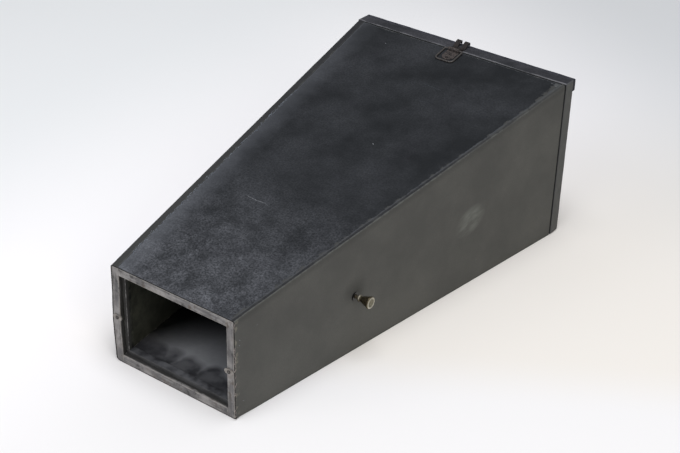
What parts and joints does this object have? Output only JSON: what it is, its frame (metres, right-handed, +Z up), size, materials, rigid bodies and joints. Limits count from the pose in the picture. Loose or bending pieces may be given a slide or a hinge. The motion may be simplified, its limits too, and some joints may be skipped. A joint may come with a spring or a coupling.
{
  "type": "photographic copy box",
  "caption": "Tapered wooden enlarging box with an open plate rebate at the small end, lens on an inner board, pull knob for its shutter, and a hinged back cover with a wire latch.",
  "frame": {"origin": "on the underside, at the middle of the body's width and midway between its two end faces", "axes": "+Z up from the level underside, +Y from the small open end to the back cover, +X to the side with the knob; the two end faces of the body stand square to Y"},
  "size_m": [0.1976, 0.358, 0.1384],
  "materials": {
    "painted_wood": "black paint worn to grey on the bare edges",
    "inner_wood": "matt black paint, rubbed pale on the ledges",
    "leathercloth": "fine pebbled leathercloth, matt",
    "cover_cloth": "rough leathercloth, matt",
    "steel": "dark blued steel with brown rust",
    "wire": "bare steel wire, dull",
    "nail": "bare steel, dull",
    "aged_brass": "dark aged brass",
    "black_brass": "brass with black lacquer",
    "black_metal": "matt black paint",
    "felt": "black wool felt",
    "glass": "polished glass"
  },
  "bodies": {
    "box": {"left_side_board": "painted_wood", "right_side_board": "painted_wood", "top_board": "painted_wood", "bottom_board": "painted_wood", "joint_brads": "nail", "top_covering": "leathercloth", "left_covering": "leathercloth", "right_covering": "leathercloth", "bottom_covering": "leathercloth", "plate_ledge_top": "inner_wood", "plate_ledge_bottom": "inner_wood", "plate_ledge_left": "inner_wood", "plate_ledge_right": "inner_wood", "plate_button_pins": "steel", "paper_ledge_top": "inner_wood", "paper_ledge_bottom": "inner_wood", "paper_ledge_left": "inner_wood", "paper_ledge_right": "inner_wood", "lens_board": "inner_wood", "lens_cleat_left": "inner_wood", "lens_cleat_right": "inner_wood", "lens_flange": "black_brass", "lens_flange_screws": "aged_brass", "lens_barrel": "black_brass", "lens_stop": "black_brass", "lens_spacer": "black_brass", "lens_crown_glass": "glass", "lens_flint_glass": "glass", "lens_retaining_ring": "black_brass", "shutter_guide_upper": "inner_wood", "shutter_guide_lower": "inner_wood", "shutter_guide_brads": "nail", "shutter_stop_block": "inner_wood", "rod_bush": "aged_brass", "rod_felt_washer": "felt", "bail_plate": "steel", "bail_plate_nails": "nail", "left_hinge_strap": "steel", "right_hinge_strap": "steel", "hinge_strap_screws": "nail", "hinge_pins": "nail"},
    "cover": {"cover_board": "painted_wood", "cover_covering": "cover_cloth", "finger_rail": "painted_wood", "finger_rail_brads": "nail", "pressure_pad_board": "inner_wood", "pressure_pad_felt": "felt", "catch_hook": "steel", "catch_hook_nails": "nail", "left_hinge_cover_leaf": "steel", "right_hinge_cover_leaf": "steel", "hinge_leaf_screws": "nail"},
    "shutter": {"shutter_plate": "black_metal", "shutter_rod": "aged_brass", "shutter_rod_nuts": "aged_brass", "rod_stop_collar": "aged_brass", "shutter_knob": "aged_brass"},
    "bail": {"latch_bail": "wire"},
    "left_button": {"left_plate_button": "steel"},
    "right_button": {"right_plate_button": "steel"}
  },
  "joints": [
    {"name": "cover_hinge", "type": "hinge", "parent": "box", "child": "cover", "pos_m": [0, 0.1841, 0.0016], "axis": [-1, 0, 0], "range_deg": [0, 88]},
    {"name": "shutter_pull", "type": "slide", "parent": "box", "child": "shutter", "axis": [1, 0, 0], "range_m": [0, 0.022]},
    {"name": "bail_swing", "type": "hinge", "parent": "box", "child": "bail", "pos_m": [-0.002, 0.16795, 0.13539], "axis": [-1, 0, 0], "range_deg": [0, 193]},
    {"name": "left_button_turn", "type": "hinge", "parent": "box", "child": "left_button", "pos_m": [-0.05037, -0.17055, 0.038], "axis": [0, 1, 0], "continuous": true},
    {"name": "right_button_turn", "type": "hinge", "parent": "box", "child": "right_button", "pos_m": [0.05037, -0.17055, 0.038], "axis": [0, 1, 0], "continuous": true}
  ]
}
